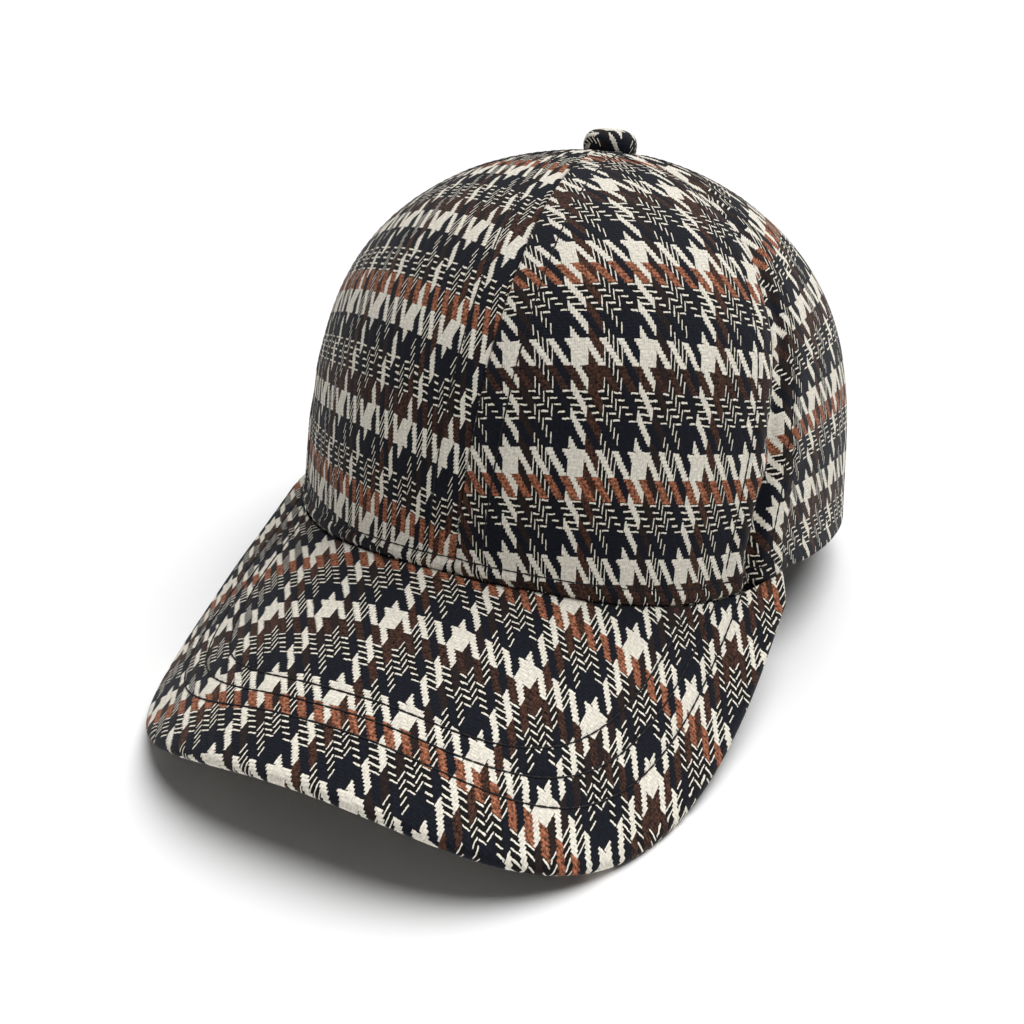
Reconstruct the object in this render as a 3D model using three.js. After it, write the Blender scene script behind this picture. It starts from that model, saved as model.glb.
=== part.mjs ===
// A six-panel cap with a curved brim and a covered button, resting as it would on a table.
// Millimetres, +Z up. The brim points to -Y and +X is the wearer's left.
// The cap is shaped in its own frame, where the rim lies in z = 0 with its middle at the origin.
// It is then tipped back until the brim's corners and the back of the rim meet the table.
// Angles around the head start at the middle of the front and grow toward the wearer's left.
import * as THREE from 'three';

// Crown
const RIM_HALF_LENGTH = 97.7;
const RIM_HALF_WIDTH = 82.6;
const RIM_SQUARENESS = 2.11;
const RIM_FLARE = 7.2;
const CROWN_HEIGHT = 107.6;
const CROWN_LEAN = -3.4;
const FRONT_FULLNESS = 3.56;
const SIDE_FULLNESS = 3.15;
const BACK_FULLNESS = 2.28;
const TOP_ROUNDING = 1.96;
const TOP_HOLE_RADIUS = 3.0;
const CLOTH_THICKNESS = 2.0;
const SEAM_WIDTH = 4.0;
const GAP = 0.3;

// Brim
const BRIM_CORNER_ANGLE = 56.5;
const BRIM_TIP_ANGLE = 61.0;
const BRIM_HALF_WIDTH = 82.0;
const BRIM_REACH = 115.5;
const BRIM_SQUARENESS = 2.79;
const BRIM_SLOPE = 0.431;
const BRIM_ARCH_DROP = 20.1;
const BRIM_ARCH_POWER = 2.32;
const BRIM_FRONT_ARCH_DROP = 37.7;
const BRIM_THICKNESS = 4.0;
const BRIM_TIP_WIDTH = 1.5;

// Button
const BUTTON_DIAMETER = 16.0;
const BUTTON_HEIGHT = 5.6;

// The seams between panels, from the wearer's right side of the back round the front.
// angle is where a seam meets the rim, bow how far it swings out halfway up, both in degrees.
// depth is how far the cloth is drawn in along the seam, in millimetres.
const seams = {
  back: { angle: 180.0, bow: 0.0, depth: 1.0 },
  backLeft: { angle: 115.7, bow: 3.9, depth: 1.0 },
  sideLeft: { angle: 51.4, bow: 7.7, depth: 1.3 },
  front: { angle: 1.5, bow: 3.0, depth: 0.9 },
  sideRight: { angle: -51.4, bow: -7.7, depth: 1.3 },
  backRight: { angle: -115.7, bow: -3.9, depth: 1.0 },
  backAgain: { angle: -180.0, bow: 0.0, depth: 1.0 },
};

// Each panel reaches from one seam to the next, in the direction of growing angle.
const panels = [
  { name: 'panel_front_left', from: seams.front, to: seams.sideLeft },
  { name: 'panel_side_left', from: seams.sideLeft, to: seams.backLeft },
  { name: 'panel_back_left', from: seams.backLeft, to: seams.back },
  { name: 'panel_back_right', from: seams.backAgain, to: seams.backRight },
  { name: 'panel_side_right', from: seams.backRight, to: seams.sideRight },
  { name: 'panel_front_right', from: seams.sideRight, to: seams.front },
];

const PANEL_COLUMNS = 12;
const PANEL_ROWS = 20;
const BRIM_COLUMNS = 36;
const BRIM_ROWS = 8;
const BUTTON_SEGMENTS = 24;

const radians = THREE.MathUtils.degToRad;
const { sin, cos, abs, max, min } = Math;

// The rim in plan: a slightly squared oval, wider toward the back by the flare.
function rimRadius(angle) {
  const along = abs(cos(angle) / RIM_HALF_LENGTH) ** RIM_SQUARENESS;
  const across = abs(sin(angle) / RIM_HALF_WIDTH) ** RIM_SQUARENESS;
  return (along + across) ** (-1 / RIM_SQUARENESS);
}

function flareAt(angle, height) {
  const share = max(0, 1 - height / CROWN_HEIGHT);
  return RIM_FLARE * share ** 3 * (0.5 - 0.5 * cos(angle));
}

function rimPoint(angle) {
  const radius = rimRadius(angle) + flareAt(angle, 0);
  return { x: radius * sin(angle), y: -radius * cos(angle) };
}

// The brim is one bent sheet: it climbs toward the crown and arches from side to side.
// It crosses the rim's plane at this corner of the oval, before the flare is added.
const cornerAngle = radians(BRIM_CORNER_ANGLE);
const corner = {
  x: rimRadius(cornerAngle) * sin(cornerAngle),
  y: -rimRadius(cornerAngle) * cos(cornerAngle),
};

// How far the sheet drops from its middle line to the corner's side, growing to the front.
function archDrop(y) {
  return BRIM_ARCH_DROP + ((BRIM_FRONT_ARCH_DROP - BRIM_ARCH_DROP) * (corner.y - y)) / BRIM_REACH;
}

function sheetHeight(x, y) {
  const arch = archDrop(y) * (abs(x) / corner.x) ** BRIM_ARCH_POWER - BRIM_ARCH_DROP;
  return BRIM_SLOPE * (y - corner.y) - arch;
}

function sheetNormal(x, y) {
  const share = abs(x) / corner.x;
  const bend = share ** (BRIM_ARCH_POWER - 1);
  const fall = (archDrop(y) * BRIM_ARCH_POWER * bend) / corner.x;
  const deepening = (BRIM_FRONT_ARCH_DROP - BRIM_ARCH_DROP) / BRIM_REACH;
  const climb = BRIM_SLOPE + deepening * bend * share;
  return new THREE.Vector3(Math.sign(x) * fall, -climb, 1).normalize();
}

// The crown's lower edge lies in the rim's plane. Where the brim butts against the crown,
// the edge follows the brim down and stops inside its thickness.
function edgeHeight(angle) {
  if (cos(angle) < cos(radians(BRIM_TIP_ANGLE))) {
    return 0;
  }
  const point = rimPoint(angle);
  return min(0, sheetHeight(point.x, point.y) - 0.7 * BRIM_THICKNESS);
}

// The smooth crown: climb goes from 0 at the rim to 1 at the top.
function crownPoint(angle, climb, inward) {
  const turn = (climb * Math.PI) / 2;
  const facing = cos(angle);
  const end = facing > 0 ? FRONT_FULLNESS : BACK_FULLNESS;
  const fullness = SIDE_FULLNESS + (end - SIDE_FULLNESS) * abs(facing);
  const height = CROWN_HEIGHT * sin(turn) ** (2 / fullness);
  let radius = rimRadius(angle) * max(0, cos(turn)) ** (2 / TOP_ROUNDING);
  radius += flareAt(angle, height) * cos(turn) - inward;
  const lean = CROWN_LEAN * (height / CROWN_HEIGHT) ** 2;
  const base = edgeHeight(angle);
  const z = base + height * (1 - base / CROWN_HEIGHT);
  return new THREE.Vector3(radius * sin(angle), -radius * cos(angle) + lean, z);
}

function seamAngle(seam, climb) {
  return radians(seam.angle + seam.bow * 4 * climb * (1 - climb));
}

// Rows stand closer together near the rim, where the crown climbs fastest.
const TOP_CLIMB = 1 - (TOP_HOLE_RADIUS / RIM_HALF_WIDTH) * (2 / Math.PI);

function climbOf(v) {
  return TOP_CLIMB * v ** 1.6;
}

// A point of a panel's outside: across runs from seam to seam, the cloth dips toward both.
function panelPoint(panel, across, v) {
  const climb = climbOf(v);
  const from = seamAngle(panel.from, climb);
  const to = seamAngle(panel.to, climb);
  const spread = 0.5 - 0.5 * cos(Math.PI * across);
  const radius = Math.hypot(...crownPoint(0.5 * (from + to), climb, 0).toArray().slice(0, 2));
  const margin = min(0.3 * (to - from), (0.5 * GAP) / max(radius, 1));
  const angle = from + margin + spread * (to - from - 2 * margin);
  const nearFrom = ((angle - from) * radius) / SEAM_WIDTH;
  const nearTo = ((to - angle) * radius) / SEAM_WIDTH;
  const fade = min(1, radius / (6 * SEAM_WIDTH));
  const dip = panel.from.depth * Math.exp(-(nearFrom ** 2)) + panel.to.depth * Math.exp(-(nearTo ** 2));
  return crownPoint(angle, climb, dip * fade);
}

// The outside's direction, from its neighbours on both sides.
function panelNormal(panel, across, v) {
  const step = 0.004;
  const left = panelPoint(panel, max(0, across - step), v);
  const right = panelPoint(panel, min(1, across + step), v);
  const low = panelPoint(panel, across, max(0, v - step));
  const high = panelPoint(panel, across, min(1, v + step));
  return right.sub(left).cross(high.sub(low)).normalize();
}

function panelInside(panel, across, v) {
  const outside = panelPoint(panel, across, v);
  const normal = panelNormal(panel, across, v);
  if (v === 0) {
    normal.setZ(0).normalize();
  }
  return outside.addScaledVector(normal, -CLOTH_THICKNESS);
}

// A closed solid between two grids of points. Seen from outside, the face's columns run
// to the right and its rows upward.
function shell(columns, rows, face, back) {
  const points = [];
  for (const side of [face, back]) {
    for (let row = 0; row <= rows; row += 1) {
      for (let column = 0; column <= columns; column += 1) {
        points.push(side(column / columns, row / rows));
      }
    }
  }
  const wide = columns + 1;
  const layer = wide * (rows + 1);
  const index = [];
  const quad = (a, b, c, d) => index.push(a, b, c, a, c, d);
  for (let row = 0; row < rows; row += 1) {
    for (let column = 0; column < columns; column += 1) {
      const a = row * wide + column;
      quad(a, a + 1, a + 1 + wide, a + wide);
      quad(a + layer, a + layer + wide, a + layer + wide + 1, a + layer + 1);
    }
  }
  for (let column = 0; column < columns; column += 1) {
    const low = column;
    const high = rows * wide + column;
    quad(low + 1, low, low + layer, low + 1 + layer);
    quad(high, high + 1, high + 1 + layer, high + layer);
  }
  for (let row = 0; row < rows; row += 1) {
    const left = row * wide;
    const right = left + columns;
    quad(right + wide, right, right + layer, right + wide + layer);
    quad(left, left + wide, left + wide + layer, left + layer);
  }
  const geometry = new THREE.BufferGeometry().setFromPoints(points);
  geometry.setIndex(index);
  geometry.computeVertexNormals();
  return geometry;
}

// Points set at even distances along a line of points.
function spaced(line, share) {
  const lengths = [0];
  for (let i = 1; i < line.length; i += 1) {
    lengths.push(lengths[i - 1] + line[i].distanceTo(line[i - 1]));
  }
  const wanted = share * lengths[lengths.length - 1];
  let i = 1;
  while (i < line.length - 1 && lengths[i] < wanted) {
    i += 1;
  }
  const part = (wanted - lengths[i - 1]) / (lengths[i] - lengths[i - 1]);
  return line[i - 1].clone().lerp(line[i], part);
}

// The brim's outer edge in plan, set in by a distance: a squared curve from the wearer's
// left to the right, with a short run back to the rim at each end.
function edgeLine(setIn) {
  const line = [];
  const steps = 240;
  const tip = rimPoint(radians(BRIM_TIP_ANGLE));
  const reach = BRIM_REACH - setIn;
  const halfWidth = BRIM_HALF_WIDTH - setIn;
  for (let i = 0; i <= steps; i += 1) {
    const turn = Math.PI * (0.5 - i / steps);
    const x = halfWidth * Math.sign(turn) * abs(sin(turn)) ** (2 / BRIM_SQUARENESS);
    const y = corner.y - reach * max(0, cos(turn)) ** (2 / BRIM_SQUARENESS);
    line.push(new THREE.Vector2(x, y));
  }
  line.unshift(new THREE.Vector2(tip.x + BRIM_TIP_WIDTH - 0.5 * setIn, tip.y));
  line.push(new THREE.Vector2(-tip.x - BRIM_TIP_WIDTH + 0.5 * setIn, tip.y));
  return line;
}

// The brim's inner edge in plan, just clear of the crown.
function rootLine() {
  const line = [];
  const steps = 120;
  for (let i = 0; i <= steps; i += 1) {
    const angle = radians(BRIM_TIP_ANGLE) * (1 - (2 * i) / steps);
    const point = rimPoint(angle);
    const grow = 1 + GAP / Math.hypot(point.x, point.y);
    line.push(new THREE.Vector2(point.x * grow, point.y * grow));
  }
  return line;
}

// The underside is set straight down beside the crown and squarely away from the sheet
// further out. Across the brim's section the last rows round its edge. turn is the angle
// around the edge, counted from the flat face.
const HALF = 0.5 * BRIM_THICKNESS;
const outerLine = edgeLine(0);
const flatLine = edgeLine(HALF);
const innerLine = rootLine();
const edgeRows = [
  { turn: radians(0) },
  { turn: radians(42) },
  { turn: radians(78) },
];

function brimPoint(across, v, below) {
  const row = Math.round(v * (BRIM_ROWS + edgeRows.length - 1));
  const inner = spaced(innerLine, across);
  const flat = spaced(flatLine, across);
  const outer = spaced(outerLine, across);
  let plan;
  let depth;
  if (row < BRIM_ROWS) {
    plan = inner.clone().lerp(flat, row / BRIM_ROWS);
    depth = 0;
  } else {
    const { turn } = edgeRows[row - BRIM_ROWS];
    plan = flat.clone().lerp(outer, sin(turn));
    depth = HALF * (1 - cos(turn));
  }
  const top = new THREE.Vector3(plan.x, plan.y, sheetHeight(plan.x, plan.y));
  const inward = sheetNormal(plan.x, plan.y).negate();
  const straight = new THREE.Vector3(0, 0, -1);
  const clear = plan.distanceTo(inner) / (2 * BRIM_THICKNESS);
  const direction = straight.lerp(inward, min(1, clear)).normalize();
  return top.addScaledVector(direction, below ? BRIM_THICKNESS - depth : depth);
}

// The button: a shallow cushion, turned round its own axis, with its middle closed.
function buttonGeometry() {
  const radius = 0.5 * BUTTON_DIAMETER;
  const section = [
    { out: 0.0, up: 0.0 },
    { out: 0.86, up: 0.0 },
    { out: 0.98, up: 0.17 },
    { out: 1.0, up: 0.42 },
    { out: 0.94, up: 0.68 },
    { out: 0.78, up: 0.88 },
    { out: 0.45, up: 0.98 },
    { out: 0.0, up: 1.0 },
  ];
  const profile = section.map((row) => new THREE.Vector2(row.out * radius, row.up * BUTTON_HEIGHT));
  const geometry = new THREE.LatheGeometry(profile, BUTTON_SEGMENTS);
  geometry.rotateX(Math.PI / 2);
  return geometry;
}

function cloth(color) {
  return new THREE.MeshStandardMaterial({ color, roughness: 0.95, metalness: 0 });
}

const cap = new THREE.Group();
cap.name = 'cap_as_worn';

for (const panel of panels) {
  const face = (across, v) => panelPoint(panel, across, v);
  const back = (across, v) => panelInside(panel, across, v);
  const mesh = new THREE.Mesh(shell(PANEL_COLUMNS, PANEL_ROWS, face, back), cloth(0x6e625a));
  mesh.name = panel.name;
  cap.add(mesh);
}

const brimTop = (across, v) => brimPoint(across, v, false);
const brimUnder = (across, v) => brimPoint(across, v, true);
const brimRows = BRIM_ROWS + edgeRows.length - 1;
const brim = new THREE.Mesh(shell(BRIM_COLUMNS, brimRows, brimTop, brimUnder), cloth(0x6a5f58));
brim.name = 'brim';
cap.add(brim);

const button = new THREE.Mesh(buttonGeometry(), cloth(0x4c443f));
button.name = 'button';
button.position.set(0, CROWN_LEAN, CROWN_HEIGHT + GAP);
cap.add(button);

// The cap's lowest point below a tipped table, over the brim or over the crown's rim.
function lowest(points, tip) {
  return min(...points.map((point) => point.z * cos(tip) - point.y * sin(tip)));
}

// How far the cap tips back before its brim and the back of its rim are equally low.
function restingTip() {
  const under = [];
  for (let i = 0; i <= 60; i += 1) {
    for (let row = 0; row <= brimRows; row += 1) {
      under.push(brimPoint(i / 60, row / brimRows, true));
    }
  }
  const rim = [];
  for (let i = 0; i <= 60; i += 1) {
    rim.push(crownPoint(radians(90 + 3 * i), 0, 0));
  }
  let small = 0;
  let large = radians(30);
  for (let i = 0; i < 40; i += 1) {
    const middle = 0.5 * (small + large);
    if (lowest(under, middle) < lowest(rim, middle)) {
      small = middle;
    } else {
      large = middle;
    }
  }
  return small;
}

cap.rotation.x = -restingTip();

// The whole stands with its lowest points on z = 0 and its plan centred on the origin.
const model = new THREE.Group();
model.name = 'houndstooth_cap';
model.add(cap);
model.updateMatrixWorld(true);
const box = new THREE.Box3().setFromObject(model, true);
const centre = box.getCenter(new THREE.Vector3());
cap.position.set(-centre.x, -centre.y, -box.min.z);
model.updateMatrixWorld(true);

export default model;
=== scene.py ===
"""A woven six-panel cap with a curved brim and a covered button, resting on a pale floor."""
from functools import partial

import bpy
import numpy as np
from bpy.props import FloatProperty, FloatVectorProperty, IntProperty, PointerProperty
from mathutils import Matrix, Vector


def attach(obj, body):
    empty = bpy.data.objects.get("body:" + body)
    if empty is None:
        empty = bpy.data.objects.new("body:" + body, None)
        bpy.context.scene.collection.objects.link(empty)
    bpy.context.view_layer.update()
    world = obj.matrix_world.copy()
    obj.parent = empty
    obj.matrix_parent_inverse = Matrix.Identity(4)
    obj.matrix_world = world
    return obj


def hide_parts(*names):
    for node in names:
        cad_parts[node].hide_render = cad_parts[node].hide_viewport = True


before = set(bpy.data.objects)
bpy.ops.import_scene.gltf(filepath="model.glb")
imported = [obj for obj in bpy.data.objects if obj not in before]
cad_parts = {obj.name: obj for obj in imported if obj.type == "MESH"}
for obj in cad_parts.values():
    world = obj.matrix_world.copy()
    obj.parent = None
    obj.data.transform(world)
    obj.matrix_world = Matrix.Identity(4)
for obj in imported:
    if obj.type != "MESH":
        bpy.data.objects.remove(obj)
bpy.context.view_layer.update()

bl_info = {
    "name": "Woven Check Cap",
    "version": (1, 0, 0),
    "blender": (4, 5, 0),
    "location": "3D View > Sidebar > Cap",
    "description": "Builds a six-panel cap in a woven check around its packed solids",
    "category": "Object",
}

# Crown, in metres. The cap is shaped with its rim in z = 0, the brim toward -Y and
# +X on the wearer's left, then tipped back to where it rests.
RIM_HALF_LENGTH = 0.0977
RIM_HALF_WIDTH = 0.0826
RIM_SQUARENESS = 2.11
RIM_FLARE = 0.0072
CROWN_HEIGHT = 0.1076
CROWN_LEAN = -0.0034
FRONT_FULLNESS = 3.56
SIDE_FULLNESS = 3.15
BACK_FULLNESS = 2.28
TOP_ROUNDING = 1.96
TOP_HOLE_RADIUS = 0.003
SEAM_WIDTH = 0.004

# Brim
BRIM_CORNER_ANGLE = np.radians(56.5)
BRIM_TIP_ANGLE = np.radians(61.0)
BRIM_HALF_WIDTH = 0.082
BRIM_REACH = 0.1155
BRIM_SQUARENESS = 2.79
BRIM_SLOPE = 0.431
BRIM_ARCH_DROP = 0.0201
BRIM_ARCH_POWER = 2.32
BRIM_FRONT_ARCH_DROP = 0.0377
BRIM_THICKNESS = 0.004
BRIM_TIP_WIDTH = 0.0015
BRIM_GAP = 0.0003
# How far below the brim's top the crown's lower edge runs, inside the brim
EDGE_DEPTH = 0.7 * BRIM_THICKNESS

# Where the cap rests
RESTING_TIP = np.radians(11.06648)
RESTING_OFFSET = np.array((0.0, 0.03177351, 0.02006883))

# The seams between panels. angle is where a seam meets the rim and bow how far it swings
# out halfway up, in degrees. depth is how far the cloth is drawn in along it, in metres.
SEAMS = {
    "back": {"angle": 180.0, "bow": 0.0, "depth": 0.0010},
    "back_left": {"angle": 115.7, "bow": 3.9, "depth": 0.0010},
    "side_left": {"angle": 51.4, "bow": 7.7, "depth": 0.0013},
    "front": {"angle": 1.5, "bow": 3.0, "depth": 0.0009},
    "side_right": {"angle": -51.4, "bow": -7.7, "depth": 0.0013},
    "back_right": {"angle": -115.7, "bow": -3.9, "depth": 0.0010},
    "back_again": {"angle": -180.0, "bow": 0.0, "depth": 0.0010},
}

# Each panel reaches from one seam to the next.
PANELS = {
    "front_left": ("front", "side_left"),
    "front_right": ("side_right", "front"),
    "side_left": ("side_left", "back_left"),
    "back_left": ("back_left", "back"),
    "back_right": ("back_again", "back_right"),
    "side_right": ("back_right", "side_right"),
}

# The cloth's lie on each piece, rounded. A piece's chart measures lengths across it and up
# it, in metres. end and pick are the warp and weft threads at the chart's middle, and way is
# -1 where the cloth is cut upside down. end_width and pick_width are the widths of a thread.
# lean tips the warp and tilt the weft toward the wearer's left, in degrees. The rest is how
# the cloth is pulled, at one span from the middle: bow swings the warp sideways, sag lets the
# weft drop, both in metres, fan and spread widen the warp upward and to the left, as shares,
# and twist adds to tilt upward.
SPAN = 0.05
PLAIN_LIE = {
    "way": 1, "end": 0, "pick": 0, "end_width": 0.00053, "pick_width": 0.00088,
    "lean": 0, "tilt": 0, "bow": 0, "sag": 0, "fan": 0, "spread": 0, "twist": 0,
}
LIES = {
    "front_left": {
        "end": 45.5, "pick": 64, "end_width": 0.00052, "lean": -6, "tilt": 2.5,
        "sag": 0.0025, "fan": 0.10, "twist": -2.5,
    },
    "front_right": {
        "way": -1, "end": 147, "pick": -10, "end_width": 0.00047, "lean": 17, "tilt": -2,
        "bow": -0.007, "sag": 0.004, "spread": -0.16, "twist": 8,
    },
    "side_left": {
        "end": 120, "pick": 13, "end_width": 0.00066, "pick_width": 0.00087, "lean": 3, "tilt": 7,
        "bow": 0.012, "sag": 0.003, "spread": 0.35, "twist": 8,
    },
    "side_right": {"way": -1, "end": 20, "pick": 37, "lean": -2, "tilt": -4},
    "back_left": {"end": 9, "pick": 51, "lean": -1, "tilt": 2},
    "back_right": {"way": -1, "end": 52, "pick": 28, "lean": 1.5, "tilt": -3},
    "brim": {
        "end": 17, "pick": -36, "end_width": 0.00061, "pick_width": 0.00082, "lean": 1,
        "sag": 0.004, "fan": 0.02,
    },
    "button": {
        "way": -1, "end": 43, "pick": 46, "end_width": 0.00064, "pick_width": 0.00106,
        "lean": -34, "tilt": 34,
    },
}
PANEL_CHART_MIDDLE = 0.05

# The repeat of the check, in threads: the same order for warp and weft. The brown band
# is bright in one repeat and dark in the next.
REPEAT = 32
SOLID_BANDS = (("navy", 0), ("cream", 8), ("brown", 16))
FINE_START = 23


def linear(*values):
    """Turn screen colour values from 0 to 255 into a linear colour."""
    shares = [value / 255 for value in values]
    return tuple(s / 12.92 if s <= 0.04045 else ((s + 0.055) / 1.055) ** 2.4 for s in shares)


def colour_property(name, description, *values):
    return FloatVectorProperty(
        name=name, description=description, default=linear(*values),
        size=3, min=0.0, max=1.0, subtype="COLOR",
    )


def length_property(name, description, default, least, most):
    return FloatProperty(
        name=name, description=description, default=default, min=least, max=most,
        subtype="DISTANCE", unit="LENGTH",
    )


def light_property(name, description, default):
    return FloatProperty(name=name, description=description, default=default, min=0.0, max=20.0)


class CapClothSettings(bpy.types.PropertyGroup):
    """The colours and the surface of the woven check."""

    cream: colour_property("Cream", "Light yarn", 230, 224, 210)
    navy: colour_property("Navy", "Dark blue yarn of the plain band", 20, 23, 33)
    black: colour_property("Black", "Dark yarn of the fine stripes", 18, 16, 17)
    rust_warp: colour_property("Rust warp", "Bright brown yarn, lengthwise", 70, 45, 35)
    rust_weft: colour_property("Rust weft", "Bright brown yarn, crosswise", 150, 94, 69)
    dark_warp: colour_property("Dark warp", "Dark brown yarn, lengthwise", 40, 30, 29)
    dark_weft: colour_property("Dark weft", "Dark brown yarn, crosswise", 62, 41, 33)
    thread_relief: length_property(
        "Thread relief", "Height of a thread above the gaps between threads", 0.00016, 0.0, 0.001,
    )
    sheen: FloatProperty(
        name="Fuzz", description="Soft light caught by loose fibres",
        default=0.06, min=0.0, max=1.0, subtype="FACTOR",
    )


class CapShapeSettings(bpy.types.PropertyGroup):
    """Sizes of the cloth's walls, folds and edges."""

    cloth_thickness: length_property(
        "Cloth thickness", "Wall of the crown's panels", 0.002, 0.001, 0.003,
    )
    seam_clearance: length_property(
        "Seam clearance", "Space left between neighbouring panels", 0.00012, 0.0, 0.001,
    )
    ripple: length_property("Ripple", "Height of the crown's soft unevenness", 0.0005, 0.0, 0.003)
    hem_puff: length_property("Hem puff", "Swell of the crown's hem above the brim", 0.0009, 0.0, 0.003)
    button_diameter: length_property(
        "Button diameter", "Width of the covered button", 0.0166, 0.008, 0.03,
    )
    button_height: length_property("Button height", "Height of the covered button", 0.0064, 0.002, 0.01)


class CapStitchSettings(bpy.types.PropertyGroup):
    """Sizes of the stitching."""

    pitch: length_property("Stitch pitch", "Distance from one stitch to the next", 0.0027, 0.001, 0.01)
    length: length_property("Stitch length", "Visible length of one stitch", 0.0034, 0.001, 0.01)
    diameter: length_property(
        "Thread diameter", "Thickness of the sewing thread", 0.00055, 0.0001, 0.002,
    )
    seed: IntProperty(
        name="Seed", description="Start of the stitches' small unevenness", default=4, min=0,
    )
    colour: colour_property("Thread", "Dark sewing thread", 22, 20, 22)


class CapStudioSettings(bpy.types.PropertyGroup):
    """The camera, the lights and the floor."""

    lens: FloatProperty(
        name="Lens", description="Focal length of the camera",
        default=38.85, min=10.0, max=200.0, unit="CAMERA",
    )
    key_strength: light_property("Key strength", "Strength of the soft light overhead", 3.45)
    fill_strength: light_property("Fill strength", "Strength of the soft light in front", 0.9)
    sky: FloatProperty(
        name="Sky", description="Strength of the even light from all round",
        default=0.085, min=0.0, max=10.0,
    )
    floor: colour_property("Floor", "Pale paper floor", 247, 247, 247)


class CapSettings(bpy.types.PropertyGroup):
    """All that a user would change."""

    cloth: PointerProperty(type=CapClothSettings)
    shape: PointerProperty(type=CapShapeSettings)
    stitching: PointerProperty(type=CapStitchSettings)
    studio: PointerProperty(type=CapStudioSettings)


# The cap's surfaces. Angles start at the middle of the front and grow toward the
# wearer's left. climb goes from 0 at the rim to 1 at the top.

def rim_radius(angle):
    along = np.abs(np.cos(angle) / RIM_HALF_LENGTH) ** RIM_SQUARENESS
    across = np.abs(np.sin(angle) / RIM_HALF_WIDTH) ** RIM_SQUARENESS
    return (along + across) ** (-1 / RIM_SQUARENESS)


def flare_at(angle, height):
    share = np.maximum(0, 1 - height / CROWN_HEIGHT)
    return RIM_FLARE * share ** 3 * (0.5 - 0.5 * np.cos(angle))


def rim_point(angle):
    radius = rim_radius(angle) + flare_at(angle, 0)
    return radius * np.sin(angle), -radius * np.cos(angle)


CORNER_X = rim_radius(BRIM_CORNER_ANGLE) * np.sin(BRIM_CORNER_ANGLE)
CORNER_Y = -rim_radius(BRIM_CORNER_ANGLE) * np.cos(BRIM_CORNER_ANGLE)
ARCH_DEEPENING = (BRIM_FRONT_ARCH_DROP - BRIM_ARCH_DROP) / BRIM_REACH


def arch_drop(y):
    """How far the brim drops from its middle line to the corner's side, growing to the front."""
    return BRIM_ARCH_DROP + ARCH_DEEPENING * (CORNER_Y - y)


def unit(vectors):
    """The same directions at length 1."""
    return vectors / np.maximum(np.linalg.norm(vectors, axis=-1, keepdims=True), 1e-12)


def sheet_height(x, y):
    arch = arch_drop(y) * (np.abs(x) / CORNER_X) ** BRIM_ARCH_POWER - BRIM_ARCH_DROP
    return BRIM_SLOPE * (y - CORNER_Y) - arch


def sheet_normal(x, y):
    share = np.abs(x) / CORNER_X
    bend = share ** (BRIM_ARCH_POWER - 1)
    fall = arch_drop(y) * BRIM_ARCH_POWER * bend / CORNER_X
    climb = BRIM_SLOPE + ARCH_DEEPENING * bend * share
    return unit(np.stack([np.sign(x) * fall, -climb, np.ones_like(x)], -1))


def edge_height(angle):
    """The crown's lower edge: in the rim's plane, and down inside the brim at the front."""
    x, y = rim_point(angle)
    beside_brim = np.minimum(0, sheet_height(x, y) - EDGE_DEPTH)
    return np.where(np.cos(angle) < np.cos(BRIM_TIP_ANGLE), 0, beside_brim)


def fullness_at(angle):
    facing = np.cos(angle)
    end = np.where(facing > 0, FRONT_FULLNESS, BACK_FULLNESS)
    return SIDE_FULLNESS + (end - SIDE_FULLNESS) * np.abs(facing)


def crown_height(angle, climb):
    return CROWN_HEIGHT * np.sin(climb * np.pi / 2) ** (2 / fullness_at(angle))


def crown_radius(angle, climb):
    return rim_radius(angle) * np.maximum(0, np.cos(climb * np.pi / 2)) ** (2 / TOP_ROUNDING)


def crown_point(angle, climb, inward=0.0):
    height = crown_height(angle, climb)
    flare = flare_at(angle, height) * np.cos(climb * np.pi / 2)
    radius = crown_radius(angle, climb) + flare - inward
    base = edge_height(angle)
    x = radius * np.sin(angle)
    y = -radius * np.cos(angle) + CROWN_LEAN * (height / CROWN_HEIGHT) ** 2
    return np.stack([x, y, base + height * (1 - base / CROWN_HEIGHT)], -1)


def climb_above_edge(angle, rise):
    """The climb at a given rise above the crown's lower edge."""
    height = rise / (1 - edge_height(angle) / CROWN_HEIGHT)
    return np.arcsin((height / CROWN_HEIGHT) ** (fullness_at(angle) / 2)) * 2 / np.pi


def rise_above_edge(angle, climb):
    return crown_height(angle, climb) * (1 - edge_height(angle) / CROWN_HEIGHT)


def seam_angle(seam, climb):
    return np.radians(seam["angle"] + seam["bow"] * 4 * climb * (1 - climb))


TOP_CLIMB = 1 - (TOP_HOLE_RADIUS / RIM_HALF_WIDTH) * (2 / np.pi)

# Stitch lines of the crown, in metres from the seam and above the lower edge.
SEAM_STITCH_OFFSET = 0.0078
HEM_STITCH_RISE = EDGE_DEPTH + 0.0042
CHANNEL_WIDTH = 0.0007
CHANNEL_DEPTH = 0.00028
HEM_CHANNEL_DEPTH = 1.6 * CHANNEL_DEPTH
BRIM_CHANNEL_DEPTH = 1.1 * CHANNEL_DEPTH

# The hem above the brim swells between its stitches and the tuck where it meets the brim.
HEM_SWELL_WIDTH = 0.0021
TUCK_BELOW = 0.0004
TUCK_WIDTH = 0.0012
TUCK_DEPTH = 0.0007
# Where these fade out round the brim's ends, in radians, and the radius at which the seams
# fade toward the top.
BRIM_FADE_ANGLE = BRIM_TIP_ANGLE * 0.96
BRIM_FADE = 0.03
SEAM_FADE_RADIUS = 6 * SEAM_WIDTH

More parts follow.
